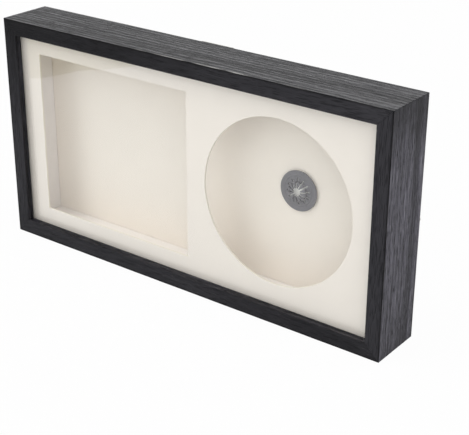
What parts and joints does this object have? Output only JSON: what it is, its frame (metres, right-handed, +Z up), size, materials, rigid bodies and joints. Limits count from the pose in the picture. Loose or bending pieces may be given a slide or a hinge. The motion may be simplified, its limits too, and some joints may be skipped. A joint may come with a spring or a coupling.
{
  "type": "cd display frame",
  "caption": "Black wood shadow box frame with glass and a cream mat: a square window for a case, a round window with a finger hub for the disc, and a back held by turn buttons.",
  "frame": {"origin": "under the middle of the frame, on the plane of its underside, halfway between the front face of the wood and the rear faces of the wall bumpers", "axes": "+X to the right as seen from the front, -Y out of the front towards the viewer, +Z up"},
  "size_m": [0.34, 0.0478, 0.177],
  "materials": {
    "black_wood": "black stain and thin satin lacquer over open grain",
    "clear_glass": "clear, polished",
    "cream_mat": "matt cream card",
    "cream_board": "matt cream paper over foam core",
    "grey_plastic": "satin moulded",
    "white_foam": "soft closed-cell foam",
    "brown_fibreboard": "smooth hardboard",
    "zinc_steel": "zinc plated",
    "dark_rubber": "matt"
  },
  "bodies": {
    "frame": {"top_rail": "black_wood", "bottom_rail": "black_wood", "left_rail": "black_wood", "right_rail": "black_wood", "corner_nail_bottom_left": "zinc_steel", "corner_nail_bottom_right": "zinc_steel", "corner_nail_top_left": "zinc_steel", "corner_nail_top_right": "zinc_steel", "front_glass": "clear_glass", "window_mat": "cream_mat", "bottom_spacer": "cream_board", "top_spacer": "cream_board", "left_spacer": "cream_board", "right_spacer": "cream_board", "mount_board": "cream_board", "disc_hub": "grey_plastic", "hub_pad": "white_foam", "back_panel": "brown_fibreboard", "button_screw_top_left": "zinc_steel", "button_screw_top_right": "zinc_steel", "button_screw_bottom_left": "zinc_steel", "button_screw_bottom_right": "zinc_steel", "button_screw_left": "zinc_steel", "button_screw_right": "zinc_steel", "sawtooth_hanger": "zinc_steel", "hanger_nail_left": "zinc_steel", "hanger_nail_right": "zinc_steel", "wall_bumper_left": "dark_rubber", "wall_bumper_right": "dark_rubber"},
    "button_top_left": {"turn_button_top_left": "zinc_steel"},
    "button_top_right": {"turn_button_top_right": "zinc_steel"},
    "button_bottom_left": {"turn_button_bottom_left": "zinc_steel"},
    "button_bottom_right": {"turn_button_bottom_right": "zinc_steel"},
    "button_left": {"turn_button_left": "zinc_steel"},
    "button_right": {"turn_button_right": "zinc_steel"}
  },
  "joints": [
    {"name": "turn_top_left", "type": "hinge", "parent": "frame", "child": "button_top_left", "pos_m": [-0.085, 0.0205, 0.17335], "axis": [0, 1, 0], "range_deg": [-90, 90]},
    {"name": "turn_top_right", "type": "hinge", "parent": "frame", "child": "button_top_right", "pos_m": [0.085, 0.0205, 0.17335], "axis": [0, 1, 0], "range_deg": [-90, 90]},
    {"name": "turn_bottom_left", "type": "hinge", "parent": "frame", "child": "button_bottom_left", "pos_m": [-0.085, 0.0205, 0.00365], "axis": [0, 1, 0], "range_deg": [-90, 90]},
    {"name": "turn_bottom_right", "type": "hinge", "parent": "frame", "child": "button_bottom_right", "pos_m": [0.085, 0.0205, 0.00365], "axis": [0, 1, 0], "range_deg": [-90, 90]},
    {"name": "turn_left", "type": "hinge", "parent": "frame", "child": "button_left", "pos_m": [-0.16635, 0.0205, 0.0885], "axis": [0, 1, 0], "range_deg": [-90, 90]},
    {"name": "turn_right", "type": "hinge", "parent": "frame", "child": "button_right", "pos_m": [0.16635, 0.0205, 0.0885], "axis": [0, 1, 0], "range_deg": [-90, 90]}
  ]
}
